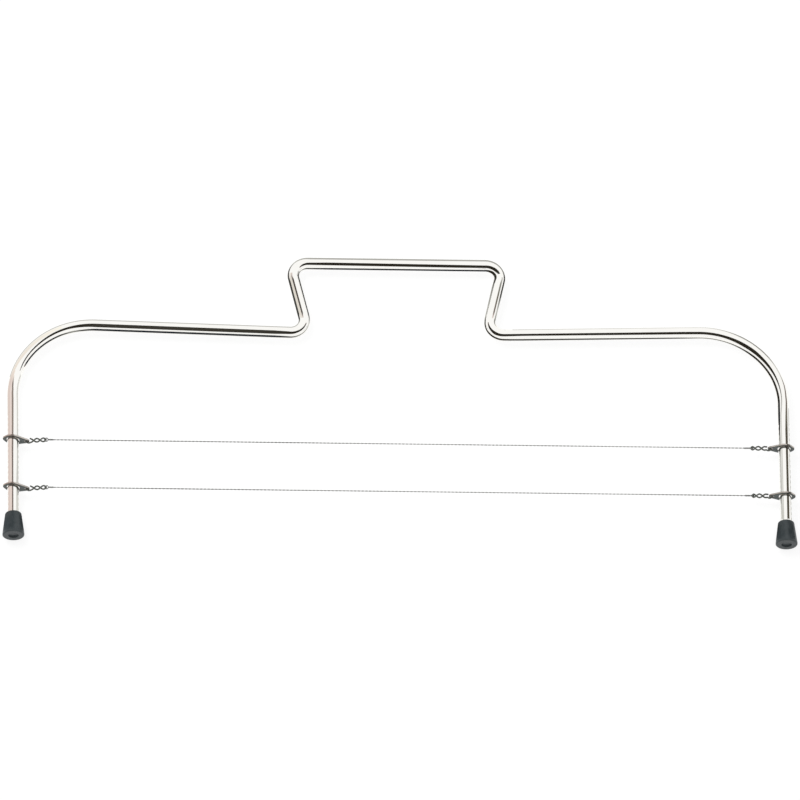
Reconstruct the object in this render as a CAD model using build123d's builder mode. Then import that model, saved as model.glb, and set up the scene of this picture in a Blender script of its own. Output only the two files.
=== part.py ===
from build123d import *

import os
from math import asin, atan, cos, pi, sin, tan

# Two-wire cake leveler, lying flat on a table as it is put down after use.
# X runs across the two legs, Y from the soles of the feet to the handle, Z up.
# The origin is at the middle of the outer box, on the table.
# All lengths are in millimetres.

# Frame rod
rod_diameter = 5.0
leg_spacing = 324.0             # between the axes of the two legs
shoulder_radius = 34.0          # bend of the rod's axis at each shoulder
bar_slope = 1.6                 # degrees, each bar falls towards the handle
handle_foot_height = 97.6       # rod's axis where a bar meets the handle, above the soles
handle_rise = 33.3              # from there to the axis of the grip
handle_foot_width = 75.0        # between the two lower corners of the handle
handle_flare = 7.5              # each side leans outwards by this much
handle_bend_radius = 6.0

# Notches pressed into the inner and outer flank of each leg
notch_pitch = 2.5
notch_count = 18
notch_depth = 0.3
notch_width = 1.1               # wider than a plate is thick
notch_overrun = 1.0
first_notch_height = 13.0       # above the soles
lower_wire_notch = 4            # the notch that each wire stands in, counted from the lowest
upper_wire_notch = 13

# Rubber feet
foot_height = 10.5
foot_sole_diameter = 9.2
foot_top_diameter = 6.8
foot_lip = 0.8                  # straight rim at the sole, below the taper
foot_floor = 1.8                # rubber under the end of the leg
foot_sole_chamfer = 0.4
foot_shoulder_chamfer = 0.6
sole_recess_diameter = 4.2
sole_recess_depth = 0.7

# Adjuster plates
plate_thickness = 0.75
plate_width = 7.8
plate_tail = 1.8                # how far the plate reaches past the leg on its outer side
plate_tail_round = 2.2
leg_hole_diameter = 5.5
leg_hole_clearance = 0.2        # on the outer side of the leg, where the wire pulls the plate
eye_reach = 5.6                 # from the axis of the leg to where the link passes the plate
eye_diameter = 1.45
eye_offset = 0.15               # the link stands this far off the centre of the eye
eye_web = 0.75                  # metal round the eye
left_plate_tilt = 7.0           # degrees, the left plates lie tipped with their eyes towards the soles
small_hole_sides = 12           # flats that stand for the round of a very small hole or ring

# Twisted end links
thin_wire_sides = 5             # flats round the section of each thin wire
link_wire_diameter = 0.55
link_wire_gap = 0.9              # clear space between the two twisted strands
link_pitch = 5.4                # length of one whole twist
link_half_turns = 2
link_start = 2.2                # from the eye to the first crossing
hook_radius = 1.05

# Cutting wires
cutting_wire_diameter = 0.5
neck_diameter = 0.75            # where the wire's end is wound round itself
neck_length = 2.2
ring_clearance = 0.2

# Shared values worked out from the sizes above
rod_radius = rod_diameter / 2
rod_height = foot_sole_diameter / 2
leg_x = leg_spacing / 2
overall_height = handle_foot_height + handle_rise + rod_radius
sole_y = -overall_height / 2
rod_plane = Plane.XY.offset(rod_height)
sides = {"left": -1, "right": 1}
tilts = {"left": left_plate_tilt * pi / 180, "right": 0}
levels = {"lower": lower_wire_notch, "upper": upper_wire_notch}

os.makedirs("parts", exist_ok=True)


def notch_y(number):
    """Place along the leg of a notch, counted from the lowest."""
    return sole_y + first_notch_height + number * notch_pitch


def finish(piece, label):
    """Name a finished piece and write it to its own file."""
    piece.label = label
    export_step(piece, f"parts/{label}.step")


# Frame: one rod from the end of one leg, round the handle, to the end of the other
foot_x = handle_foot_width / 2
bar_rise = (leg_x - foot_x) * tan(bar_slope * pi / 180)
leg_end_y = sole_y + foot_floor
handle_foot_y = sole_y + handle_foot_height
shoulder_y = handle_foot_y + bar_rise
grip_y = handle_foot_y + handle_rise
half_outline = [
    (leg_x, leg_end_y),
    (leg_x, shoulder_y),
    (foot_x, handle_foot_y),
    (foot_x + handle_flare, grip_y),
]
outline = [(-x, y) for x, y in half_outline] + half_outline[::-1]
side_bends = [shoulder_radius, handle_bend_radius, handle_bend_radius]

with BuildPart() as frame_rod:
    with BuildLine(rod_plane):
        rod_axis = FilletPolyline(*outline, radius=side_bends + side_bends[::-1])
    with BuildSketch(Plane(origin=rod_axis @ 0, z_dir=rod_axis % 0)):
        Circle(rod_radius)
    sweep()
    cutter_length = notch_depth + notch_overrun
    cutter_spacing = 2 * (rod_radius - notch_depth) + cutter_length
    with BuildSketch(rod_plane.offset(-rod_diameter)):
        for side in sides.values():
            with Locations((side * leg_x, notch_y((notch_count - 1) / 2))):
                with GridLocations(cutter_spacing, notch_pitch, 2, notch_count):
                    Rectangle(cutter_length, notch_width)
    extrude(amount=2 * rod_diameter, mode=Mode.SUBTRACT)
finish(frame_rod.part, "frame_rod")
print("frame rod", round(rod_axis.length, 1), "mm long")

# Feet: tapered rubber caps turned about the axis of the leg, open at the top for its end
for side_name, side in sides.items():
    foot_plane = Plane(origin=(side * leg_x, sole_y, rod_height), x_dir=(1, 0, 0), z_dir=(0, 0, 1))
    with BuildPart() as foot:
        with BuildSketch(foot_plane) as half_section:
            with BuildLine():
                Polyline(
                    (0, sole_recess_depth),
                    (sole_recess_diameter / 2, sole_recess_depth),
                    (sole_recess_diameter / 2, 0),
                    (foot_sole_diameter / 2, 0),
                    (foot_sole_diameter / 2, foot_lip),
                    (foot_top_diameter / 2, foot_height),
                    (rod_radius, foot_height),
                    (rod_radius, foot_floor),
                    (0, foot_floor),
                    close=True,
                )
            make_face()
            sole_corner = half_section.vertices().group_by(Axis.Y)[0].sort_by(Axis.X)[-1]
            chamfer(sole_corner, length=foot_sole_chamfer)
            shoulder_corner = half_section.vertices().group_by(Axis.Y)[-1].sort_by(Axis.X)[-1]
            chamfer(shoulder_corner, length=foot_shoulder_chamfer)
        revolve(axis=Axis(foot_plane.origin, (0, 1, 0)))
    finish(foot.part, f"{side_name}_foot")

# Adjuster plates: flat leaves, each with a hole for the leg and an eye for the link.
# The wire pulls the plate inwards, so the free play of the hole lies on its inner side.
hole_centre = leg_hole_diameter / 2 - rod_radius - leg_hole_clearance
tail_centre = plate_tail_round - rod_radius - plate_tail
eye_centre = eye_reach - eye_offset


def plate_ways(side_name):
    """Ways from the leg to the eye and up through the plate, for the tilt that it lies at."""
    side, tilt = sides[side_name], tilts[side_name]
    return Vector(-side * cos(tilt), -sin(tilt), 0), Vector(-side * sin(tilt), cos(tilt), 0)


for level_name, notch in levels.items():
    for side_name, side in sides.items():
        inwards, through = plate_ways(side_name)
        leg_point = Vector(side * leg_x, notch_y(notch), rod_height)
        plate_plane = Plane(origin=leg_point - through * plate_thickness / 2, x_dir=inwards, z_dir=through)
        with BuildPart() as adjuster:
            with BuildSketch(plate_plane):
                with Locations((hole_centre, 0)):
                    Circle(plate_width / 2)
                with Locations((tail_centre, 0)):
                    Circle(plate_tail_round)
                with Locations((eye_centre, 0)):
                    Circle(eye_diameter / 2 + eye_web)
                make_hull()
                with Locations((hole_centre, 0)):
                    Circle(leg_hole_diameter / 2, mode=Mode.SUBTRACT)
                with Locations((eye_centre, 0)):
                    RegularPolygon(eye_diameter / 2, small_hole_sides, major_radius=False, mode=Mode.SUBTRACT)
            extrude(amount=plate_thickness)
        finish(adjuster.part, f"{level_name}_{side_name}_adjuster")

# Twisted end links. One wire hooks through the eye, runs to the inner end as one strand of
# a double helix, turns back there and returns as the other strand to a free cut end. From the eye of a tipped
# plate the link rises to the level of the wire.
link_wire_radius = link_wire_diameter / 2
twist_radius = (link_wire_diameter + link_wire_gap) / 2
twist_lead = atan(2 * pi * twist_radius / link_pitch)
link_turn = link_start + link_half_turns * link_pitch / 2
link_apex = link_turn + twist_radius


def biarc(start, start_way, end, end_way):
    """Two arcs from start to end that leave and arrive along the two unit directions."""
    across = end - start
    ways = start_way + end_way
    spread = 2 - 2 * start_way.dot(end_way)
    along = across.dot(ways)
    reach = across.dot(across) / (along + (along**2 + spread * across.dot(across)) ** 0.5)
    before = start + start_way * reach
    after = end - end_way * reach
    middle = (before + after) / 2
    TangentArc(start, middle, tangent=start_way)
    TangentArc(middle, end, tangent=after - before)


def crossing(number, strand):
    """Point and outward direction of a strand (1 or -1) where the two strands cross."""
    turned = strand * (-1) ** number
    point = Vector(link_start + number * link_pitch / 2, -turned * twist_radius, 0)
    return point, Vector(cos(twist_lead), 0, turned * sin(twist_lead))


def link_path():
    """Draw the axis of the link's wire, from the tip of its hook to its free cut end."""
    ThreePointArc((hook_radius, hook_radius, 0), (0, 0, 0), (hook_radius, -hook_radius, 0))
    first, first_way = crossing(0, 1)
    biarc(Vector(hook_radius, -hook_radius, 0), Vector(1, 0, 0), first, first_way)
    for number in range(link_half_turns):
        biarc(*crossing(number, 1), *crossing(number + 1, 1))
    last, last_way = crossing(link_half_turns, 1)
    apex = Vector(link_turn + twist_radius, 0, 0)
    back, back_way = crossing(link_half_turns, -1)
    turned = (-1) ** link_half_turns
    apex_way = Vector(0, turned * cos(twist_lead), -turned * sin(twist_lead))
    TangentArc(last, apex, tangent=last_way)
    TangentArc(apex, back, tangent=apex_way)
    for number in range(link_half_turns, 0, -1):
        start, start_way = crossing(number, -1)
        end, end_way = crossing(number - 1, -1)
        biarc(start, -start_way, end, -end_way)


def least_gap(path, wire_diameter, samples=240, skip=4):
    """Least clear space between stretches of a wire that lie skip diameters apart along it."""
    points = [path.position_at(step / samples) for step in range(samples + 1)]
    steps_apart = int(skip * wire_diameter * samples / path.length)
    spans = [
        (points[later] - points[earlier]).length
        for earlier in range(samples)
        for later in range(earlier + steps_apart, samples + 1)
    ]
    return min(spans) - wire_diameter


with BuildPart() as end_link:
    with BuildLine() as link_line:
        link_path()
    link_axis = link_line.wire()
    with BuildSketch(Plane(origin=link_axis @ 0, z_dir=link_axis % 0)):
        RegularPolygon(link_wire_radius, thin_wire_sides)
    sweep(clean=False)

for level_name, notch in levels.items():
    for side_name, side in sides.items():
        inwards, through = plate_ways(side_name)
        eye_point = Vector(side * leg_x, notch_y(notch), rod_height) + inwards * eye_reach
        rise = asin(eye_reach * sin(tilts[side_name]) / link_apex)
        eye_plane = Plane(
            origin=eye_point,
            x_dir=(-side * cos(rise), sin(rise), 0),
            z_dir=(0, 0, -side),
        )
        with BuildPart(eye_plane) as link:
            add(end_link.part, clean=False)
        finish(link.part, f"{level_name}_{side_name}_link")
print("least gap of a link's wire to itself", round(least_gap(link_axis, link_wire_diameter), 2), "mm")

# Cutting wires: taut, with a loop at each end that passes through the bend of the link.
# The wire's end is bent back in a ring and wound round itself, which makes the thick neck.
cutting_wire_radius = cutting_wire_diameter / 2
ring_radius = link_wire_radius + cutting_wire_radius + ring_clearance
ring_x = leg_x - eye_reach - link_apex - ring_clearance / 2
neck_start_x = ring_x - ring_radius
wire_end_x = neck_start_x - neck_length

for level_name, notch in levels.items():
    wire_y = notch_y(notch)
    for side_name, side in sides.items():
        ring_way = Vector(0, cos(twist_lead), side * sin(twist_lead))
        ring_plane = Plane(origin=(side * ring_x, wire_y, rod_height), x_dir=(1, 0, 0), z_dir=ring_way)
        neck_plane = Plane(origin=(side * neck_start_x, wire_y, rod_height), z_dir=(-side, 0, 0))
        with BuildPart() as wire_loop:
            with BuildSketch(ring_plane.offset(-cutting_wire_radius)):
                RegularPolygon(ring_radius + cutting_wire_radius, small_hole_sides)
                RegularPolygon(
                    ring_radius - cutting_wire_radius, small_hole_sides, major_radius=False, mode=Mode.SUBTRACT
                )
            extrude(amount=cutting_wire_diameter)
            with BuildSketch(neck_plane):
                RegularPolygon(neck_diameter / 2, thin_wire_sides)
            extrude(amount=neck_length)
        finish(wire_loop.part, f"{level_name}_{side_name}_wire_loop")

    with BuildPart() as cutting_wire:
        with BuildSketch(Plane(origin=(-wire_end_x, wire_y, rod_height), z_dir=(1, 0, 0))):
            RegularPolygon(cutting_wire_radius, thin_wire_sides)
        extrude(amount=2 * wire_end_x)
    finish(cutting_wire.part, f"{level_name}_cutting_wire")
print("cutting wire", round(2 * wire_end_x, 1), "mm long between its loops")
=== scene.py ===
# %% [markdown]
# # Dressing a two-wire cake leveler
# A cake leveler is a springy chromed rod with two thin cutting wires strung between its legs. Little
# steel plates hold the wires in notches of the legs, and rubber feet keep the legs off the table.
# The CAD model has given every piece its place, its body and its joint. Here each piece gets its
# real surface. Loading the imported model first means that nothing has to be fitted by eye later.

import bmesh
import bpy
import numpy as np
from mathutils import Matrix, Vector


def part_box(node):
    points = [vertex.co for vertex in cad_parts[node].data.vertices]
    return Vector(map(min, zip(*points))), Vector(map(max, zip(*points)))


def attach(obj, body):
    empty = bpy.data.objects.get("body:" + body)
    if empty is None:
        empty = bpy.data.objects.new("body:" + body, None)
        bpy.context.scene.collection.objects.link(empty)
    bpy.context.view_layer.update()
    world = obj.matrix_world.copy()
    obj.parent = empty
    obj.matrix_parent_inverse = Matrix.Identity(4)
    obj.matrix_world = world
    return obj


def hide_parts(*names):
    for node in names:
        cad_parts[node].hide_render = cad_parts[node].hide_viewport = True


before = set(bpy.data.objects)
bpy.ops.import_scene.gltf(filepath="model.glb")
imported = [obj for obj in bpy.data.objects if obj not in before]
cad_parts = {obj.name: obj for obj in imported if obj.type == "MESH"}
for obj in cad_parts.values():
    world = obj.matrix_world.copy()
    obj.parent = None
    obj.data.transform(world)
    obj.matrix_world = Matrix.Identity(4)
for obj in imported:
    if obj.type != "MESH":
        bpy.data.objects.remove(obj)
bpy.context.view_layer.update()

# %% [markdown]
# ## Shared sizes
# The lengths below are the CAD source's own, in millimetres. A wire's height on the legs is read from
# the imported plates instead, because that is where the joints start. One factor turns a finished
# mesh into Blender's metres.

# %% Sizes in millimetres
mm = 0.001
sides = {"left": -1, "right": 1}
rod_radius, rod_height, leg_x = 2.5, 4.6, 162.0
tilts = {"left": np.radians(7.0), "right": 0.0}
sole_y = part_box("left_foot")[0].y / mm
plate_boxes = {level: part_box(f"{level}_right_adjuster") for level in ("lower", "upper")}
wire_y = {level: (low.y + high.y) / 2 / mm for level, (low, high) in plate_boxes.items()}
print("soles at", round(sole_y, 2), "wires at", {k: round(v, 2) for k, v in wire_y.items()})

# %% [markdown]
# ## From rings to a mesh
# Nearly every piece here is a skin stretched over rings of points: a rod, a wire, a turned foot. So
# one helper joins neighbouring rings by quads and closes the two ends with a fan round a middle
# point. It works on whole arrays. A ring that comes back to its start, like a loop of wire, wraps
# round and needs no ends. The sign of the enclosed volume tells whether the faces look outwards.


# %% Skin over rings
def skin(rings, wraps=False):
    """Points and faces of a closed skin over rings, an array (rings, points in a ring, 3).

    Quad (i, j) joins points j and j + 1 of ring i to the same points of ring i + 1."""
    count, around = rings.shape[:2]
    here = np.arange(count * around).reshape(count, around)
    beside = np.roll(here, -1, axis=1)
    if wraps:
        quads = np.stack([here, beside, np.roll(beside, -1, 0), np.roll(here, -1, 0)], -1)
        return rings.reshape(-1, 3), quads.reshape(-1, 4), np.zeros((0, 3), int)
    quads = np.stack([here[:-1], beside[:-1], beside[1:], here[1:]], -1).reshape(-1, 4)
    points = np.concatenate([rings.reshape(-1, 3), rings[[0, -1]].mean(1)])
    first, last = count * around, count * around + 1
    fan = np.stack([beside[0], here[0], np.full(around, first)], -1)
    far_fan = np.stack([here[-1], beside[-1], np.full(around, last)], -1)
    return points, quads, np.concatenate([fan, far_fan])


def volume(points, quads, fans):
    """Six times the enclosed volume: the sum of a . (b x c) over the skin's triangles."""
    corners = np.concatenate([quads[:, [0, 1, 2]], quads[:, [0, 2, 3]], fans])
    a, b, c = points[corners].transpose(1, 0, 2)
    return np.einsum("ij,ij->", a, np.cross(b, c))


# %% [markdown]
# ## One object for each piece
# A piece is often more than one closed skin, such as the two strands of a wire. They are joined into one
# mesh, so that the piece stays one named thing. The helper also makes it ride on its CAD body and stand for
# its CAD node.


# %% Make a named piece
def adopt(thing, body, slot, *nodes):
    """The piece rides on a body and stands for its nodes. The slot is not used."""
    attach(thing, body)
    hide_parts(*nodes)
    bpy.context.view_layer.update()
    return thing


def piece(name, skins, material):
    """One object from several closed skins in millimetres."""
    points, faces, start = [], [], 0
    for own_points, quads, fans in skins:
        if volume(own_points, quads, fans) < 0:
            quads, fans = quads[:, ::-1], fans[:, ::-1]
        points.append(own_points * mm)
        faces += (quads + start).tolist() + (fans + start).tolist()
        start += len(own_points)
    mesh = bpy.data.meshes.new(name)
    mesh.from_pydata(np.concatenate(points), [], faces)
    mesh.polygons.foreach_set("use_smooth", np.ones(len(mesh.polygons), bool))
    mesh.materials.append(material)
    mesh.update()
    thing = bpy.data.objects.new(name, mesh)
    bpy.context.scene.collection.objects.link(thing)
    print(name, len(mesh.polygons), "faces")
    return thing


# %% [markdown]
# ## Finishes
# Each finish is a small node tree on object coordinates, so a pattern has its real size and stays on
# the piece when a joint moves it. Metals are almost all reflection, so their life is in small
# changes of roughness. A helper makes the shader with its plain values, a second one a noise.


# %% Shader and noise helpers
def shader(name, colour, roughness, metallic):
    """A node material; returns its tree, its Principled node and the object coordinates."""
    material = bpy.data.materials.new(name)
    material.use_nodes = True
    tree = material.node_tree
    surface = tree.nodes["Principled BSDF"]
    surface.inputs["Base Color"].default_value = (*colour, 1)
    surface.inputs["Roughness"].default_value = roughness
    surface.inputs["Metallic"].default_value = metallic
    place = tree.nodes.new("ShaderNodeTexCoord").outputs["Object"]
    return material, tree, surface, place


def noise(tree, place, scale, detail=3.0):
    """Noise with about this many blobs to a metre."""
    node = tree.nodes.new("ShaderNodeTexNoise")
    node.inputs["Scale"].default_value = scale
    node.inputs["Detail"].default_value = detail
    tree.links.new(place, node.inputs["Vector"])
    return node.outputs["Fac"]


def spread(tree, value, low, high):
    """The noise's middle range, stretched to run from low to high."""
    node = tree.nodes.new("ShaderNodeMapRange")
    node.inputs["From Min"].default_value = 0.3
    node.inputs["From Max"].default_value = 0.7
    node.inputs["To Min"].default_value = low
    node.inputs["To Max"].default_value = high
    tree.links.new(value, node.inputs["Value"])
    return node.outputs["Result"]


def tints(tree, value, dark, light):
    """A colour between dark and light."""
    node = tree.nodes.new("ShaderNodeValToRGB")
    node.color_ramp.elements[0].color = (*dark, 1)
    node.color_ramp.elements[0].position = 0.3
    node.color_ramp.elements[1].color = (*light, 1)
    node.color_ramp.elements[1].position = 0.7
    tree.links.new(value, node.inputs["Fac"])
    return node.outputs["Color"]


def bump(tree, surface, height, depth, strength=0.4):
    """Bump of a given depth in metres."""
    node = tree.nodes.new("ShaderNodeBump")
    node.inputs["Distance"].default_value = depth
    node.inputs["Strength"].default_value = strength
    tree.links.new(height, node.inputs["Height"])
    tree.links.new(node.outputs["Normal"], surface.inputs["Normal"])


# %% [markdown]
# The rod is chrome-plated: nearly white, mirror-bright, with a soft warm cast. Its plating is
# very slightly uneven, which breaks the long reflections a little, so the roughness wanders.

# %% Chrome of the frame
chrome, tree, surface, place = shader("frame_chrome", (0.96, 0.95, 0.915), 0.07, 1.0)
tree.links.new(spread(tree, noise(tree, place, 700), 0.045, 0.1), surface.inputs["Roughness"])
tone = tints(tree, noise(tree, place, 90), (0.945, 0.93, 0.895), (0.97, 0.96, 0.925))
tree.links.new(tone, surface.inputs["Base Color"])
bump(tree, surface, noise(tree, place, 260, 1.0), 0.00002, 0.15)

# %% [markdown]
# The feet are moulded rubber, dark slate and satin. Two noises make it: a wide one for the bloom that
# rubber gets with age, and a fine one for the grain of the mould.

# %% Rubber of the feet
rubber, tree, surface, place = shader("foot_rubber", (0.025, 0.034, 0.038), 0.5, 0.0)
bloom = noise(tree, place, 420, 4.0)
tone = tints(tree, bloom, (0.018, 0.026, 0.029), (0.034, 0.044, 0.048))
tree.links.new(tone, surface.inputs["Base Color"])
tree.links.new(spread(tree, bloom, 0.3, 0.46), surface.inputs["Roughness"])
bump(tree, surface, noise(tree, place, 5200, 2.0), 0.00004, 0.35)

# %% [markdown]
# The plates are stamped from strip steel. Their faces are dull and dark. Their sheared rims are painted
# pale, a painted highlight that stands for the bright reflection along the rim. Each plate carries an
# attribute that is one on the rim, and the colour follows it.

# %% Steel of the plates
plate_steel, tree, surface, place = shader("plate_steel", (0.08, 0.09, 0.085), 0.35, 1.0)
# The rim attribute masks a painted highlight: the rim's pale colour stands in for its bright reflection.
rim_highlight = tree.nodes.new("ShaderNodeAttribute")
rim_highlight.attribute_name = "rim_highlight"
blend = tree.nodes.new("ShaderNodeMix")
blend.data_type = "RGBA"
tree.links.new(rim_highlight.outputs["Fac"], blend.inputs[0])
face_tone = tints(tree, noise(tree, place, 1600), (0.05, 0.058, 0.056), (0.1, 0.112, 0.108))
rim_highlight_tone = tints(tree, noise(tree, place, 1500), (0.5, 0.46, 0.42), (0.68, 0.62, 0.57))
tree.links.new(face_tone, blend.inputs[6])
tree.links.new(rim_highlight_tone, blend.inputs[7])
tree.links.new(blend.outputs[2], surface.inputs["Base Color"])
tree.links.new(spread(tree, noise(tree, place, 2600), 0.26, 0.42), surface.inputs["Roughness"])

# %% [markdown]
# The end links and the cutting wires are drawn steel. Drawing leaves a fine uneven skin. The links are
# darker and a little green, the cutting wires lighter, because they are rubbed clean by use.

# %% Steel of the wires
link_steel, tree, surface, place = shader("link_steel", (0.13, 0.14, 0.125), 0.34, 1.0)
tone = tints(tree, noise(tree, place, 2100), (0.07, 0.075, 0.068), (0.22, 0.23, 0.21))
tree.links.new(tone, surface.inputs["Base Color"])
tree.links.new(spread(tree, noise(tree, place, 3500), 0.28, 0.42), surface.inputs["Roughness"])
cutting_steel, tree, surface, place = shader("cutting_steel", (0.28, 0.28, 0.27), 0.3, 1.0)
tone = tints(tree, noise(tree, place, 14), (0.12, 0.12, 0.115), (0.4, 0.4, 0.39))
tree.links.new(tone, surface.inputs["Base Color"])
tree.links.new(spread(tree, noise(tree, place, 3000), 0.24, 0.38), surface.inputs["Roughness"])
print("finishes:", [m.name for m in bpy.data.materials if m.use_nodes])

# %% [markdown]
# ## The frame rod
# The real frame is one length of rod, bent over round tools: a wide bend at each shoulder, four
# tight ones at the handle. A curve object with a bevel could show it, but the notches pressed
# into the legs need points of their own. So the rod's axis is worked out first, straight runs with
# arcs tangent to both, and then a circle is carried along it.


# %% Straight runs with rounded corners
def rounded_run(corners, radii, steps, arc_step):
    """Points and unit ways along straight runs with an arc at each inner corner.

    A corner that turns by t gets an arc of radius r that starts r * tan(t / 2) before it. Point
    and way at angle a of the arc: centre + r * (sin a * way - cos a * side), cos a * way + sin a * side."""
    corners = np.asarray(corners, float)
    ways = np.diff(corners, axis=0)
    ways /= np.linalg.norm(ways, axis=1)[:, None]
    points, headings, start = [], [], corners[0]
    for corner, radius, step, way, next_way in zip(corners[1:], radii, steps, ways, ways[1:]):
        turn = np.arctan2(way[0] * next_way[1] - way[1] * next_way[0], way @ next_way)
        end = corner - way * radius * np.tan(abs(turn) / 2)
        share = np.linspace(0, 1, int(np.linalg.norm(end - start) / step) + 2)[:-1, None]
        side = np.sign(turn) * np.array([-way[1], way[0]])
        angle = np.linspace(0, abs(turn), int(radius * abs(turn) / arc_step) + 3)[:-1, None]
        points += [start + share * (end - start)]
        points += [end + radius * (side + np.sin(angle) * way - np.cos(angle) * side)]
        headings += [way + 0 * share, np.cos(angle) * way + np.sin(angle) * side]
        start = corner + next_way * radius * np.tan(abs(turn) / 2)
    share = np.linspace(0, 1, int(np.linalg.norm(corners[-1] - start) / steps[-1]) + 2)[:, None]
    points += [start + share * (corners[-1] - start)]
    headings += [ways[-1] + 0 * share]
    return np.concatenate(points), np.concatenate(headings)


half_outline = [(leg_x, sole_y + 1.8), (leg_x, 34.378), (37.5, 30.9), (45.0, 64.2)]
outline = [(-x, y) for x, y in half_outline] + half_outline[::-1]
run_steps = [0.125, 5, 2, 5, 2, 5, 0.125]
axis_points, axis_ways = rounded_run(outline, [34, 6, 6, 6, 6, 34], run_steps, 0.45)
print("rod axis:", len(axis_points), "stations")

# %% [markdown]
# The notches are pressed, not cut: the tool flattens the rod's flank for about a millimetre and the
# metal rolls softly into it. A point of a leg is moved inwards to the flat wherever it stands
# proud of it. The flat comes and goes along the leg by a smooth step.

# %% The rod with its pressed notches
notch_pitch, notch_count, notch_depth, notch_half_width, notch_roll = 2.5, 18, 0.3, 0.62, 0.34
first_notch, knee = 13.0, 0.04


def pressed(rings, ways):
    """Flatten the flanks of the legs at the notches.

    The flank's limit is radius - depth * s, where s falls smoothly from 1 to 0 across the roll at
    the notch's edge. A point beyond the limit is moved to it, with a soft knee of 0.04 mm."""
    out = rings.copy()
    side = np.sign(rings[..., 0].mean(1))[:, None]
    off_axis = rings[..., 0] - side * leg_x
    steps_up = (rings[..., 1] - (sole_y + first_notch)) / notch_pitch
    nearest = np.clip(np.round(steps_up), 0, notch_count - 1)
    away = np.abs(steps_up - nearest) * notch_pitch
    share = np.clip((notch_half_width + notch_roll / 2 - away) / notch_roll, 0, 1)
    limit = rod_radius - notch_depth * share * share * (3 - 2 * share)
    over = np.logaddexp(0, (np.abs(off_axis) - limit) / knee) * knee
    on_leg = (np.abs(ways[:, 0]) < 1e-9)[:, None] & (share > 0)
    flattened = side * leg_x + np.sign(off_axis) * (np.abs(off_axis) - over)
    out[..., 0] = np.where(on_leg, flattened, out[..., 0])
    return out


def rod_rings(points, ways, radius, around):
    """Circles square to the axis: axis + radius * (cos a * across + sin a * up)."""
    angle = np.arange(around) * 2 * np.pi / around
    across = np.stack([-ways[:, 1], ways[:, 0], 0 * ways[:, 0]], -1)
    axis = np.concatenate([points, np.full((len(points), 1), rod_height)], 1)
    up = np.array([0, 0, 1.0])
    return axis[:, None] + radius * (np.cos(angle)[:, None] * across[:, None] + np.sin(angle)[:, None] * up)


rod_skin = skin(pressed(rod_rings(axis_points, axis_ways, rod_radius, 52), axis_ways))
rod = piece("chromed_rod", [rod_skin], chrome)
adopt(rod, "frame", "frame_chrome", "frame_rod")

# %% [markdown]
# ## The rubber feet
# A foot is a moulded cap: a straight rim at the sole, a slight taper, a rounded shoulder and a small
# recess in the sole. It is turned about the leg, so half its outline, rounded by the same
# helper as the rod, is carried round a circle. The outline runs from the sole's middle outwards,
# up, in at the mouth and down the bore, so the skin is closed.

# %% Feet
foot_corners = [
    (0, 0.7), (2.1, 0.7), (2.1, 0), (4.6, 0), (4.6, 0.9), (3.4, 10.5), (2.5, 10.5), (2.5, 1.8), (0, 1.8),
]
foot_radii = [0.15, 0.25, 0.5, 4.0, 0.8, 0.12, 0.3]
foot_outline, _ = rounded_run(foot_corners, foot_radii, [0.5] * 8, 0.12)
foot_outline = foot_outline[1:-1]


def turned(half_outline, centre_x, around=96):
    """Carry (radius, height) round the leg: (x + r cos a, sole + h, axis height + r sin a)."""
    angle = np.arange(around) * 2 * np.pi / around
    reach, height = half_outline[:, :1], half_outline[:, 1:]
    x, z = centre_x + reach * np.cos(angle), rod_height + reach * np.sin(angle)
    return np.stack([x, sole_y + height + 0 * angle, z], -1)


for side_name, side in sides.items():
    foot = piece(f"{side_name}_rubber_foot", [skin(turned(foot_outline, side * leg_x))], rubber)
    adopt(foot, "frame", "foot_rubber", f"{side_name}_foot")

# %% [markdown]
# ## The adjuster plates
# Each plate is a teardrop leaf stamped from strip: a big hole that lets it tip and slide on the leg,
# and a small eye for the link. A skin over rings can't have two holes, but a flat Blender curve
# can: it fills its outline, leaves the inner ones open, and rounds every rim as stamping does.
# The outline is the band round three discs, found by asking in each direction which disc reaches
# furthest.

# %% Leaf outline
plate_thickness, rim_rounding, leg_hole_at, leg_hole_radius = 0.75, 0.16, 0.05, 2.75
eye_reach, eye_at, eye_radius = 5.6, 5.45, 0.725
disc_centres = np.array([(leg_hole_at, 0), (-2.1, 0), (eye_at, 0)])
disc_radii = np.array([3.9, 2.2, 1.475])


def circle(centre_x, radius, around):
    """Points of a circle on the leaf's long axis."""
    angle = np.arange(around) * 2 * np.pi / around
    return np.stack([centre_x + radius * np.cos(angle), radius * np.sin(angle)], -1)


def band_round_discs(around=240):
    """Outline of a band round the discs.

    In way w, the disc with the largest c . w + r leads, and the point is its c + r * w."""
    angle = np.arange(around) * 2 * np.pi / around
    ways = np.stack([np.cos(angle), np.sin(angle)], -1)
    leader = (disc_centres @ ways.T + disc_radii[:, None]).argmax(0)
    return disc_centres[leader] + disc_radii[leader, None] * ways


# %% Plates
def stamped_leaf(name):
    """A filled flat curve with two holes, thickened and rounded, as a mesh in millimetres."""
    curve = bpy.data.curves.new(name, "CURVE")
    curve.dimensions, curve.fill_mode = "2D", "BOTH"
    curve.extrude, curve.bevel_depth = plate_thickness / 2 - rim_rounding, rim_rounding
    curve.bevel_resolution, curve.offset = 3, -rim_rounding
    leg_hole, eye = circle(leg_hole_at, leg_hole_radius, 96), circle(eye_at, eye_radius, 32)
    for outline_points in (band_round_discs(), leg_hole, eye):
        spline = curve.splines.new("POLY")
        spline.points.add(len(outline_points) - 1)
        rest = np.tile([0.0, 1.0], (len(outline_points), 1))
        spline.points.foreach_set("co", np.concatenate([outline_points, rest], 1).ravel())
        spline.use_cyclic_u = True
    holder = bpy.data.objects.new(name, curve)
    mesh = bpy.data.meshes.new_from_object(holder)
    bpy.data.objects.remove(holder)
    return mesh


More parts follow.
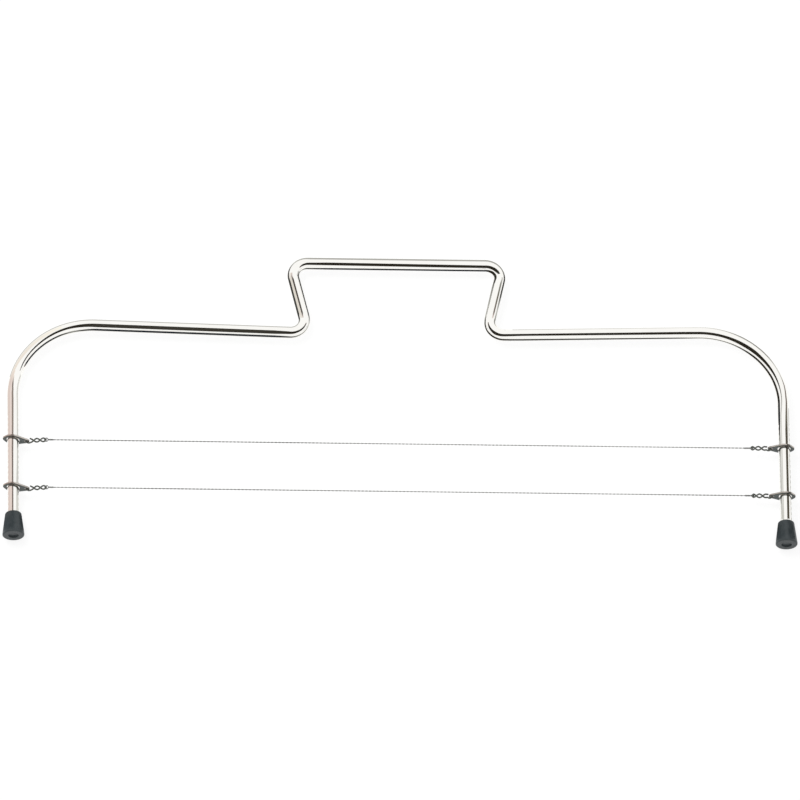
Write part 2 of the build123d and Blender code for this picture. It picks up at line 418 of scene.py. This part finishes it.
def plate_ways(side_name):
    """Ways from the leg to the eye and through the plate, turned by the tilt that the plate lies at."""
    side, tilt = sides[side_name], tilts[side_name]
    inwards = np.array([-side * np.cos(tilt), -np.sin(tilt), 0])
    return inwards, np.array([-side * np.sin(tilt), np.cos(tilt), 0])


def set_leaf(mesh, side_name, level_y):
    """Stand the leaf on the leg: x runs to the eye, y up, z through the plate."""
    local = np.empty(len(mesh.vertices) * 3)
    mesh.vertices.foreach_get("co", local)
    x, y, z = local.reshape(-1, 3, 1).transpose(1, 0, 2)
    inwards, through = plate_ways(side_name)
    middle = np.array([sides[side_name] * leg_x, level_y, rod_height])
    placed = middle + x * inwards + y * np.array([0, 0, 1]) + z * through
    mesh.vertices.foreach_set("co", (placed * mm).ravel())
    z = z.ravel()
    # This share marks the rim, where the painted highlight goes.
    rim_highlight_share = np.clip((plate_thickness / 2 - np.abs(z)) / rim_rounding, 0, 1)
    mesh.attributes.new("rim_highlight", "FLOAT", "POINT").data.foreach_set("value", rim_highlight_share)
    shell = bmesh.new()
    shell.from_mesh(mesh)
    bmesh.ops.remove_doubles(shell, verts=shell.verts, dist=1e-7)
    bmesh.ops.recalc_face_normals(shell, faces=shell.faces)
    shell.to_mesh(mesh)
    shell.free()
    mesh.polygons.foreach_set("use_smooth", np.ones(len(mesh.polygons), bool))
    mesh.set_sharp_from_angle(angle=0.7)


for level, level_y in wire_y.items():
    for side_name in sides:
        leaf = stamped_leaf(f"{level}_{side_name}_plate_leaf")
        set_leaf(leaf, side_name, level_y)
        leaf.materials.clear()
        leaf.materials.append(plate_steel)
        plate = bpy.data.objects.new(leaf.name, leaf)
        bpy.context.scene.collection.objects.link(plate)
        adopt(plate, f"{level}_{side_name}_plate", "plate_steel", f"{level}_{side_name}_adjuster")
print("plate:", len(leaf.polygons), "faces")

# %% [markdown]
# ## Wire along a path
# A wire is a circle carried along a bent path. The circle needs a steady "up" that is never along
# the path, or it flips. For every wire here a fixed way will do, because none of them runs
# that way.


# %% Round wire
def wire(path, radius, around=8, up=(0, 0, 1), wraps=False):
    """Skin of a wire: circles of the radius square to the path.

    The way is the difference of the neighbours. Up loses its share of the way, so that it is
    square to it."""
    if wraps:
        way = np.roll(path, -1, 0) - np.roll(path, 1, 0)
    else:
        way = np.gradient(path, axis=0)
    way /= np.linalg.norm(way, axis=1)[:, None]
    up = np.asarray(up, float) - (way @ np.asarray(up, float))[:, None] * way
    up /= np.linalg.norm(up, axis=1)[:, None]
    across = np.cross(way, up)
    angle = (np.arange(around) * 2 * np.pi / around)[:, None]
    rings = path[:, None] + radius * (np.cos(angle) * across[:, None] + np.sin(angle) * up[:, None])
    return skin(rings, wraps)


# %% [markdown]
# ## The twisted end links
# A link is one stiff wire: a hook through the plate's eye, two half twists to the far end, a tight
# turn there, and the same twists back to a free cut end. Between crossings the strands are true
# helices, so they are written as such. Short bridges that leave and arrive along given ways join them.

# %% The link's path
link_radius, twist_radius, link_pitch, link_start, hook_radius = 0.34, 0.725, 5.4, 2.2, 1.05
lead = np.arctan2(2 * np.pi * twist_radius, link_pitch)
link_turn = link_start + link_pitch


def twisted_strand(which, angle):
    """Helix strand 1 or -1: (start + pitch * a / 2 pi, -k r cos a, k r sin a)."""
    x = link_start + link_pitch * angle / (2 * np.pi)
    return np.stack([x, -which * twist_radius * np.cos(angle), which * twist_radius * np.sin(angle)], -1)


def bridge(start, start_way, end, end_way, count, pull=1.1):
    """Cubic from start to end: h00 p + h10 m + h01 q + h11 n, with m and n the ways times pull and span."""
    start, end = np.asarray(start, float), np.asarray(end, float)
    length = pull * np.linalg.norm(end - start)
    t = np.linspace(0, 1, count)[:-1, None]
    into, out = np.asarray(start_way, float) * length, np.asarray(end_way, float) * length
    return (
        (2 * t**3 - 3 * t**2 + 1) * start + (t**3 - 2 * t**2 + t) * into
        + (3 * t**2 - 2 * t**3) * end + (t**3 - t**2) * out
    )


def link_path():
    """Hook, strand out, turn, strand back and the free end, in the link's own frame."""
    hook = np.linspace(0.7 * np.pi, 1.5 * np.pi, 26)[:-1]
    hook = np.stack([hook_radius + hook_radius * np.cos(hook), hook_radius * np.sin(hook), 0 * hook], -1)
    turns = np.linspace(0, 2 * np.pi, 64)[:-1]
    along, tilt = np.cos(lead), np.sin(lead)
    strand_start = (link_start, -twist_radius, 0)
    out = bridge((hook_radius, -hook_radius, 0), (1, 0, 0), strand_start, (along, 0, tilt), 12)
    apex = (link_turn + twist_radius, 0, 0)
    round_out = bridge((link_turn, -twist_radius, 0), (along, 0, tilt), apex, (0, along, -tilt), 12)
    round_back = bridge(apex, (0, along, -tilt), (link_turn, twist_radius, 0), (-along, 0, tilt), 12)
    back = twisted_strand(-1, turns[::-1])
    tail = bridge(back[-1], (-along, 0.1, tilt), back[-1] + (-0.75, 0.3, 0.25), (-0.9, 0.4, 0), 8)[1:]
    return np.concatenate([hook, out, twisted_strand(1, turns), round_out, round_back, back, tail])


print("link wire", round(np.linalg.norm(np.diff(link_path(), axis=0), axis=1).sum(), 1), "mm long")


# %% Links
def from_eye(path, side_name, level_y):
    """From the link's frame, x from the eye to the wire's ring, to the leveler's.

    The eye of a tipped plate lies lower than the wire by reach * sin(tilt), so the link climbs as much."""
    side = sides[side_name]
    eye = np.array([side * leg_x, level_y, rod_height]) + plate_ways(side_name)[0] * eye_reach
    rise = np.arcsin((level_y - eye[1]) / (link_turn + twist_radius))
    along = np.array([-side * np.cos(rise), np.sin(rise), 0])
    aside = np.array([side * np.sin(rise), np.cos(rise), 0])
    return eye + path @ np.stack([along, aside, [0, 0, -side]])


for level, level_y in wire_y.items():
    for side_name in sides:
        link_skin = wire(from_eye(link_path(), side_name, level_y), link_radius, 10)
        link = piece(f"{level}_{side_name}_twisted_link", [link_skin], link_steel)
        adopt(link, f"{level}_wire", "link_steel", f"{level}_{side_name}_link")

# %% [markdown]
# ## The cutting wires
# A cutting wire is two fine strands twisted together, which makes it bite into the crumb like a very
# fine saw. Its real lay, about three millimetres, shows as a row of bright dots, so it is
# modelled: two helices half a turn apart.

# %% Twisted pair
strand_radius, lay, loop_x = 0.125, 3.15, 145.05
ring_x, ring_radius, neck_start = 147.975, 0.725, 147.25


def strand(start_x, end_x, phase, height_y, per_lay=12):
    """Helix about the wire: (x, y + r cos a, z + r sin a) with a = 2 pi x / lay + phase."""
    x = np.linspace(start_x, end_x, int(abs(end_x - start_x) / lay * per_lay) + 2)
    angle = 2 * np.pi * x / lay + phase
    y, z = height_y + strand_radius * np.cos(angle), rod_height + strand_radius * np.sin(angle)
    return np.stack([x, y, z], -1)


for level, level_y in wire_y.items():
    pair = [wire(strand(-loop_x, loop_x, phase, level_y), strand_radius, 6) for phase in (0, np.pi)]
    cutting = piece(f"{level}_twisted_cutting_wire", pair, cutting_steel)
    adopt(cutting, f"{level}_wire", "cutting_steel", f"{level}_cutting_wire")

# %% [markdown]
# Each end of a cutting wire is bent back through the link's turn in a small ring and then wound round
# itself. The ring is the same twisted pair on a circle, tilted to lie square to the link's turn. The
# winding is a close coil over the pair.


# %% Loops and windings
def ring_strand(side, level_y, phase, around=64):
    """Closed strand on a ring.

    centre + (R + r cos b) * (cos a * e + sin a * f) + r sin b * normal, with b = 2 a + phase."""
    angle = (np.arange(around) * 2 * np.pi / around)[:, None]
    normal = np.array([0, np.cos(lead), side * np.sin(lead)])
    e = np.array([1.0, 0, 0])
    f = np.cross(normal, e)
    reach = ring_radius + strand_radius * np.cos(2 * angle + phase)
    centre = np.array([side * ring_x, level_y, rod_height])
    lift = strand_radius * np.sin(2 * angle + phase) * normal
    return centre + reach * (np.cos(angle) * e + np.sin(angle) * f) + lift, normal


winding_strand, end_room = 0.1, 0.12


def winding(side, level_y, turns=7.5, radius=0.27, per_turn=16):
    """Coil over the wire's end, from the ring inwards."""
    share = np.linspace(0, 1, int(turns * per_turn))
    x = side * (neck_start - end_room - share * (neck_start - loop_x - 2 * end_room))
    angle = 2 * np.pi * turns * share
    return np.stack([x, level_y + radius * np.cos(angle), rod_height + radius * np.sin(angle)], -1)


for level, level_y in wire_y.items():
    for side_name, side in sides.items():
        skins = []
        for phase in (0, np.pi):
            path, normal = ring_strand(side, level_y, phase)
            skins.append(wire(path, strand_radius, 6, normal, wraps=True))
            skins.append(wire(strand(side * neck_start, side * loop_x, phase, level_y), strand_radius, 6))
        skins.append(wire(winding(side, level_y), winding_strand, 7, (1, 0, 0)))
        loop = piece(f"{level}_{side_name}_wound_loop", skins, cutting_steel)
        adopt(loop, f"{level}_wire", "cutting_steel", f"{level}_{side_name}_wire_loop")

# %% [markdown]
# ## Studio
# The leveler lies on a white table under an even white sky. Chrome only shows what is round it, and its
# bands are painted reflections: glowing cards that only reflections see. They need the camera's place, so
# they come last.


# %% Floor and sky
def bright_rays(tree):
    """One for rays from the camera and for reflected and refracted ones, else nothing."""
    path = tree.nodes.new("ShaderNodeLightPath")
    total = path.outputs["Is Camera Ray"]
    for name in ("Is Glossy Ray", "Is Transmission Ray"):
        add = tree.nodes.new("ShaderNodeMath")
        add.operation, add.use_clamp = "ADD", True
        tree.links.new(total, add.inputs[0])
        tree.links.new(path.outputs[name], add.inputs[1])
        total = add.outputs[0]
    return total


def plain_sheet(name, corners, material):
    """A flat four-cornered stage piece."""
    mesh = bpy.data.meshes.new(name)
    mesh.from_pydata([tuple(c) for c in corners], [], [(0, 1, 2, 3)])
    mesh.materials.append(material)
    thing = bpy.data.objects.new(name, mesh)
    bpy.context.scene.collection.objects.link(thing)
    return thing


floor_paint, tree, surface, place = shader("floor_paint", (0.8, 0.8, 0.8), 0.9, 0.0)
surface.inputs["Specular IOR Level"].default_value = 0.0
seen = tree.nodes.new("ShaderNodeBsdfDiffuse")
seen.inputs["Color"].default_value = (0.22, 0.22, 0.22, 1)
glow = tree.nodes.new("ShaderNodeEmission")
glow.inputs["Strength"].default_value = 0.83
both = tree.nodes.new("ShaderNodeAddShader")
pick = tree.nodes.new("ShaderNodeMixShader")
tree.links.new(seen.outputs[0], both.inputs[0])
tree.links.new(glow.outputs[0], both.inputs[1])
tree.links.new(bright_rays(tree), pick.inputs[0])
tree.links.new(surface.outputs[0], pick.inputs[1])
tree.links.new(both.outputs[0], pick.inputs[2])
tree.links.new(pick.outputs[0], tree.nodes["Material Output"].inputs["Surface"])
plain_sheet("floor", [(-6, -6, 0), (6, -6, 0), (6, 6, 0), (-6, 6, 0)], floor_paint)

world = bpy.data.worlds.new("white_studio")
bpy.context.scene.world = world
world.use_nodes = True
tree = world.node_tree
sky = tree.nodes["Background"]
sky.inputs["Color"].default_value = (1, 1, 1, 1)
strength = tree.nodes.new("ShaderNodeMapRange")
strength.inputs["To Min"].default_value = 0.7
strength.inputs["To Max"].default_value = 1.0
tree.links.new(bright_rays(tree), strength.inputs["Value"])
tree.links.new(strength.outputs["Result"], sky.inputs["Strength"])


# %% Lamp
def lamp(name, place_at, aim_at, size, power):
    """A soft square lamp aimed at a point."""
    light = bpy.data.lights.new(name, "AREA")
    light.size, light.energy = size, power
    thing = bpy.data.objects.new(name, light)
    thing.location = place_at
    thing.rotation_mode = "QUATERNION"
    thing.rotation_quaternion = (Vector(aim_at) - Vector(place_at)).to_track_quat("-Z", "Y")
    thing.visible_glossy = False
    bpy.context.scene.collection.objects.link(thing)


lamp("soft_key", (-0.7, 0.5, 1.2), (0, 0, 0), 0.9, 9.0)


# %% [markdown]
# ## Camera
# The camera stands at the photograph's own place: in front and high, a few degrees to the left and a little
# rolled, found by fitting the corners of the frame and the feet. A long lens far away keeps
# the legs nearly parallel, as they are there.

# %% Camera
azimuth, elevation, roll = np.radians([-6.358, 61.946, 6.320])
flat_back = np.array([np.sin(azimuth), -np.cos(azimuth), 0])
back = flat_back * np.cos(elevation) + np.array([0, 0, np.sin(elevation)])
level_right = np.array([np.cos(azimuth), np.sin(azimuth), 0])
level_up = np.cross(back, level_right)
right = level_right * np.cos(roll) + level_up * np.sin(roll)
up = level_up * np.cos(roll) - level_right * np.sin(roll)
lens = bpy.data.cameras.new("studio_camera")
picture_width, focal_pixels, lens.sensor_width = 800, 19045.5, 36
lens.lens = focal_pixels / picture_width * lens.sensor_width
lens.clip_start, lens.clip_end = 0.1, 60
camera = bpy.data.objects.new("studio_camera", lens)
aim, distance = np.array([0.719, -0.328, rod_height]) * mm, 8
turned_to_view = Matrix(np.stack([right, up, back], -1)).to_4x4()
camera.matrix_world = Matrix.Translation(aim + back * distance) @ turned_to_view
bpy.context.scene.collection.objects.link(camera)
bpy.context.scene.camera = camera

# %% [markdown]
# ## Painted reflections for the chrome
# A rod mirrors a thin slice of the studio all along its length. Its dark and warm lines are painted
# reflections: glowing cards that only reflections see.
# Where a card must stand follows from the law of reflection: a point of the skin with normal n
# sends the camera's ray v to r = 2 (n . v) n - v. A card is lofted through the ends of such rays.
# Its keys give the distance along the rod, the two edges of the line as seen, in millimetres from
# the rod's middle towards the inside of the arch, and the card's colour.

# %% Where the reflected rays go
card_points, card_ways = rounded_run(outline, [34, 6, 6, 6, 6, 34], [2.0] * 7, 0.8)
card_stations = np.concatenate([[0], np.cumsum(np.linalg.norm(np.diff(card_points, axis=0), axis=1))])
floor_room = 0.3
print("rod", round(card_stations[-1], 1), "mm long")


def reflected_ends(points, ways, offsets, reach, radius):
    """Ends of the reflected rays, cut short just above the floor.

    With b the way across the rod and g the camera's own angle in the plane of z and b, the point
    seen at offset d from the rod's middle has its normal at the angle g + asin(d / radius)."""
    z = np.array([0, 0, 1.0])
    across = np.stack([ways[:, 1], -ways[:, 0], 0 * ways[:, 0]], -1)[:, None]
    own = np.arctan2(across @ back, back[2])
    lean = own + np.arcsin(offsets / radius)
    normal = np.cos(lean)[..., None] * z + np.sin(lean)[..., None] * across
    ray = 2 * (normal @ back)[..., None] * normal - back
    axis = np.concatenate([points, np.full((len(points), 1), rod_height)], 1)[:, None]
    start = axis + radius * normal
    to_floor = (start[..., 2] - floor_room) / np.maximum(-ray[..., 2], 1e-3)
    return start + ray * np.minimum(reach, to_floor)[..., None]


# %% [markdown]
# A card stands 9 mm off the rod. Beside the handle it comes gradually nearer, because the rays from
# the inner flank of a tight bend cross one another further out.

# %% A painted reflection card lofted through its keys
reach_stations, reach_values = [150, 190, 368, 408], [9.0, 1.5, 1.5, 9.0]

def painted_reflection_card(name, keys, radius=rod_radius, columns=9):
    """A glowing sheet that only reflections see, which paints a reflection on the rod. A key is (station,
    from offset, to offset, red, green, blue).
    """
    keys = np.array(keys, float)
    inside = (card_stations > keys[0, 0]) & (card_stations < keys[-1, 0])
    stations = np.unique(np.concatenate([card_stations[inside], keys[:, 0]]))
    points = np.stack([np.interp(stations, card_stations, card_points[:, k]) for k in (0, 1)], -1)
    ways = np.stack([np.interp(stations, card_stations, card_ways[:, k]) for k in (0, 1)], -1)
    ways /= np.linalg.norm(ways, axis=1)[:, None]
    low, high, *colour = [np.interp(stations, keys[:, 0], keys[:, k])[:, None] for k in range(1, 6)]
    offsets = low + (high - low) * np.linspace(0, 1, columns)
    reach = np.interp(stations, reach_stations, reach_values)[:, None]
    ends = reflected_ends(points, ways, offsets, reach, radius) * mm
    here = np.arange(ends.shape[0] * columns).reshape(-1, columns)
    quads = np.stack([here[:-1, :-1], here[1:, :-1], here[1:, 1:], here[:-1, 1:]], -1).reshape(-1, 4)
    mesh = bpy.data.meshes.new(name)
    mesh.from_pydata(ends.reshape(-1, 3), [], quads.tolist())
    reflection_paint = np.concatenate([*colour, 0 * low + 1], 1)[:, None] + np.zeros((1, columns, 1))
    mesh.attributes.new("reflection_paint", "FLOAT_COLOR", "POINT").data.foreach_set("color", reflection_paint.ravel())
    mesh.materials.append(painted_reflection_glow)
    thing = bpy.data.objects.new(name, mesh)
    bpy.context.scene.collection.objects.link(thing)
    thing.visible_camera = thing.visible_diffuse = thing.visible_shadow = False
    thing.visible_transmission = thing.visible_volume_scatter = False


# The painted reflections glow evenly, each in its card's own colour.
painted_reflection_glow = bpy.data.materials.new("painted_reflection_glow")
painted_reflection_glow.use_nodes = True
tree = painted_reflection_glow.node_tree
painted = tree.nodes.new("ShaderNodeAttribute")
painted.attribute_name = "reflection_paint"
even = tree.nodes.new("ShaderNodeEmission")
tree.links.new(painted.outputs["Color"], even.inputs["Color"])
tree.links.new(even.outputs[0], tree.nodes["Material Output"].inputs["Surface"])

# %% [markdown]
# The rod is followed from the left foot to the right one: leg to 64, shoulder to 119, bar to 201,
# the handle's left side to 241, grip to 316, right side to 357, bar to 439, shoulder to 493, leg to 557.

# %% Painted reflection cards
# Colours of the painted reflection lines on the chrome.
black, coal, ink = (0.024, 0.021, 0.016), (0.042, 0.039, 0.032), (0.025, 0.028, 0.033)
slate, ash, mist = (0.06, 0.06, 0.055), (0.28, 0.28, 0.26), (0.55, 0.55, 0.53)
peat, umber, taupe = (0.09, 0.076, 0.065), (0.2, 0.165, 0.15), (0.27, 0.225, 0.2)
olive, moss, ivory = (0.17, 0.16, 0.13), (0.09, 0.08, 0.062), (1.0, 0.97, 0.89)
rose, blush, sand, beige = (0.75, 0.64, 0.6), (0.84, 0.73, 0.69), (0.77, 0.73, 0.67), (0.87, 0.79, 0.72)
painted_reflection_card("front_left", [
    (75.5, 0.80, 0.97, *umber), (77.5, 0.59, 0.92, *slate), (80, 0.34, 0.80, *slate),
    (85, 0.13, 0.59, *black), (92, -0.13, 0.50, *black), (100, -0.50, 0.34, *black),
    (106, -0.63, 0.29, *black), (112, -0.69, 0.55, *black), (119, -0.73, 0.76, *coal),
    (194, -0.69, 0.78, *coal),
])
painted_reflection_card("front_left_end", [
    (194, -0.69, 0.78, *coal), (200, -0.50, 0.63, *black), (203, -0.25, 0.59, *black),
    (206, 0.21, 0.80, *slate), (208, 0.59, 0.97, *umber),
])
painted_reflection_card("front_grip", [
    (236, 0.63, 0.97, *umber), (238, 0.08, 0.76, *black), (241, -0.38, 0.55, *black),
    (250, -0.55, 0.63, *black), (305, -0.21, 0.97, *black), (316, -0.13, 0.97, *black),
    (320, -0.38, 0.88, *black), (323, -0.63, 0.71, *black), (324.6, -0.59, 0.29, *slate),
])
painted_reflection_card("front_right_end", [
    (348, 0.38, 0.71, *umber), (350, 0.08, 0.80, *black), (353, -0.34, 0.88, *black),
    (356, -0.50, 0.50, *black), (364, -0.50, 0.38, *black),
])
painted_reflection_card("front_right", [
    (364, -0.50, 0.38, *black), (432, -0.50, 0.55, *black), (450, -0.38, 0.71, *black),
    (460, -0.46, 1.01, *black), (465, -0.50, 0.92, *black), (470, -0.38, 0.80, *black),
    (475, -0.34, 0.63, *black), (480, -0.21, 0.46, *black), (485, 0.00, 0.42, *slate),
    (490, 0.21, 0.55, *ash), (499, 0.76, 1.18, 0.66, 0.66, 0.63), (555, 0.76, 1.22, 0.6, 0.6, 0.57),
])
painted_reflection_card("inner_edge_left_leg", [
    (8, 1.22, 2.27, 0.68, 0.68, 0.65), (22, 1.34, 2.27, 0.62, 0.62, 0.6),
    (34, 1.64, 2.31, 0.6, 0.6, 0.58), (64, 1.72, 2.18, 0.68, 0.68, 0.65),
    (74, 1.76, 2.10, 0.8, 0.8, 0.77),
])
painted_reflection_card("inner_edge_left", [
    (78.5, 1.55, 1.93, *umber), (80.5, 1.43, 2.06, *ink), (95, 1.39, 2.06, *ink),
    (102, 1.39, 2.02, *slate), (108, 1.51, 2.10, *ash), (113, 1.60, 2.23, *slate),
    (119, 1.41, 2.23, *ink), (194, 1.41, 2.23, *ink),
])
painted_reflection_card("inner_edge_handle_left", [
    (194, 1.41, 2.23, *ink), (200, 1.55, 2.18, *slate), (204, 1.72, 2.10, *ash), (208, 1.85, 2.14, *mist),
    (212, 1.97, 2.39, *slate), (231, 1.93, 2.39, *slate), (236, 2.06, 2.35, *mist),
    (240, 1.85, 2.35, *slate), (250, 1.76, 2.44, *ink), (316, 1.76, 2.44, *ink),
    (319, 1.51, 2.39, *black), (322, 1.22, 2.27, *black), (325, 1.13, 2.14, *black),
    (328, 1.47, 2.23, *slate), (331, 1.81, 2.39, *ash), (345, 1.89, 2.35, *mist),
    (347, 1.64, 2.18, *slate), (350, 1.76, 2.35, *black), (353, 1.60, 2.31, *black),
    (356, 1.55, 2.23, *black), (360, 1.64, 2.31, *slate), (364, 1.68, 2.35, *slate),
])
painted_reflection_card("inner_edge_right", [
    (364, 1.68, 2.35, *slate), (430, 1.85, 2.35, *slate), (440, 1.97, 2.35, *ash),
    (450, 1.97, 2.35, *ash), (460, 1.81, 2.39, *slate), (465, 1.60, 2.35, *black),
    (470, 1.47, 2.23, *black), (480, 1.26, 2.06, *black), (490, 1.26, 2.10, *black),
    (500, 1.34, 2.18, *ink), (506, 1.47, 2.10, *slate), (510, 1.43, 2.06, *ash), (516, 1.34, 2.02, *mist),
    (540, 1.30, 2.02, *mist), (548, 1.22, 1.93, 0.6, 0.6, 0.57),
])
painted_reflection_card("outer_line_left_leg", [
    (8, -0.59, 0.08, *umber), (36, -0.55, 0.15, *umber), (50, -0.42, 0.29, *taupe),
    (62, -0.40, 0.34, *taupe), (66, -0.44, 0.25, *taupe), (69, -0.67, -0.13, *umber),
    (72.5, -0.97, -0.55, *beige),
])
painted_reflection_card("outer_side_left_leg", [
    (8, -2.14, -1.09, *rose), (64, -2.14, -1.09, *rose), (70, -2.10, -1.09, *rose),
    (75, -2.02, -1.13, *beige), (88, -1.93, -0.67, 0.9, 0.85, 0.79), (104, -1.81, -0.84, *ivory),
])
painted_reflection_card("outer_middle_left_leg", [
    (8, -1.09, -0.46, *blush), (64, -1.09, -0.42, *blush), (70, -1.09, -0.71, *blush),
    (75, -1.13, -0.92, *beige),
])
painted_reflection_card("outer_edge_left_bar", [
    (72, -2.35, -2.10, *mist), (84, -2.35, -2.06, *mist), (104, -2.39, -2.06, *mist),
    (119, -2.46, -2.06, *mist), (206, -2.46, -2.06, *mist),
])
painted_reflection_card("outer_edge_handle_left", [
    (206, -2.44, -2.10, *mist), (210, -2.39, -1.85, *slate), (213, -2.39, -1.57, *slate),
    (229, -2.39, -1.57, *slate), (233, -2.39, -1.89, *slate), (236, -2.39, -1.97, *mist),
    (242, -2.44, -1.81, 0.42, 0.42, 0.4), (316, -2.44, -1.81, 0.42, 0.42, 0.4), (323, -2.39, -1.93, *ash),
    (326, -2.39, -1.76, *slate), (334, -2.39, -1.72, *slate), (342, -2.31, -1.76, *mist),
    (346, -2.31, -1.76, *ash), (349, -2.27, -1.93, *ash), (352, -2.31, -2.06, *ivory),
])
painted_reflection_card("outer_line_handle_left", [
    (210, -0.71, -0.38, *rose), (212.5, -0.59, 0.08, *peat), (229, -0.71, 0.00, *peat),
    (232, -0.92, -0.46, *rose),
])
painted_reflection_card("rose_handle_left", [
    (210, -1.47, -0.76, 0.85, 0.8, 0.76), (213, -1.55, -0.63, *sand), (229, -1.55, -0.76, *sand),
    (232, -1.55, -1.01, 0.85, 0.8, 0.76),
])
painted_reflection_card("outer_line_handle_right", [
    (326, -1.30, -0.88, *mist), (329, -1.26, -0.59, *ash), (336, -1.26, -0.59, *olive),
    (343, -1.22, -0.59, *umber), (346, -1.09, -0.67, *rose),
])
painted_reflection_card("outer_edge_right_leg", [
    (495, -2.35, -2.10, *mist), (505, -2.39, -2.06, *mist), (548, -2.39, -2.06, *mist),
])
painted_reflection_card("outer_line_right", [
    (360, -2.35, -2.14, *mist), (440, -2.35, -2.10, 0.75, 0.75, 0.73), (450, -2.35, -2.02, *mist),
    (456, -2.39, -1.93, *ash), (470, -2.39, -1.93, *ash), (475, -2.27, -1.93, *mist),
    (480, -2.14, -1.81, *mist), (485, -2.06, -1.68, *umber), (490, -1.76, -1.22, *umber),
    (500, -1.68, -0.84, *olive), (506, -1.64, -0.67, *moss), (523, -1.55, -0.67, *moss),
    (540, -1.51, -0.59, *moss), (548, -1.47, -0.55, *moss),
])

# %% [markdown]
# The feet are satin, so they mirror too, only softly. Their modelling is painted reflection and painted
# shade: a black card between the two feet darkens their inner flanks, and a dim grey card covers the rest
# except for one bright upright band.

# %% Painted reflection cards for the feet
dusk, foot_radius = (0.3, 0.31, 0.33), 4.0
painted_reflection_card("left_foot_inside", [(0, 2.7, 3.95, *black), (9, 2.7, 3.95, *black)], foot_radius)
painted_reflection_card("left_foot_outside", [(0, -3.95, 0.3, *dusk), (9, -3.95, 0.6, *dusk)], foot_radius)
painted_reflection_card("right_foot_inside", [(548, 2.3, 3.95, *black), (557, 2.3, 3.95, *black)], foot_radius)
painted_reflection_card("right_foot_dim", [(548, 0.7, 2.3, *dusk), (557, 0.7, 2.3, *dusk)], foot_radius)
painted_reflection_card("right_foot_outside", [(548, -3.4, -1.0, *slate), (557, -3.4, -1.0, *slate)], foot_radius)

# %% [markdown]
# ## Finish
# Colours are kept as they are written.

# %% Finish
bpy.context.scene.view_settings.view_transform = "Standard"
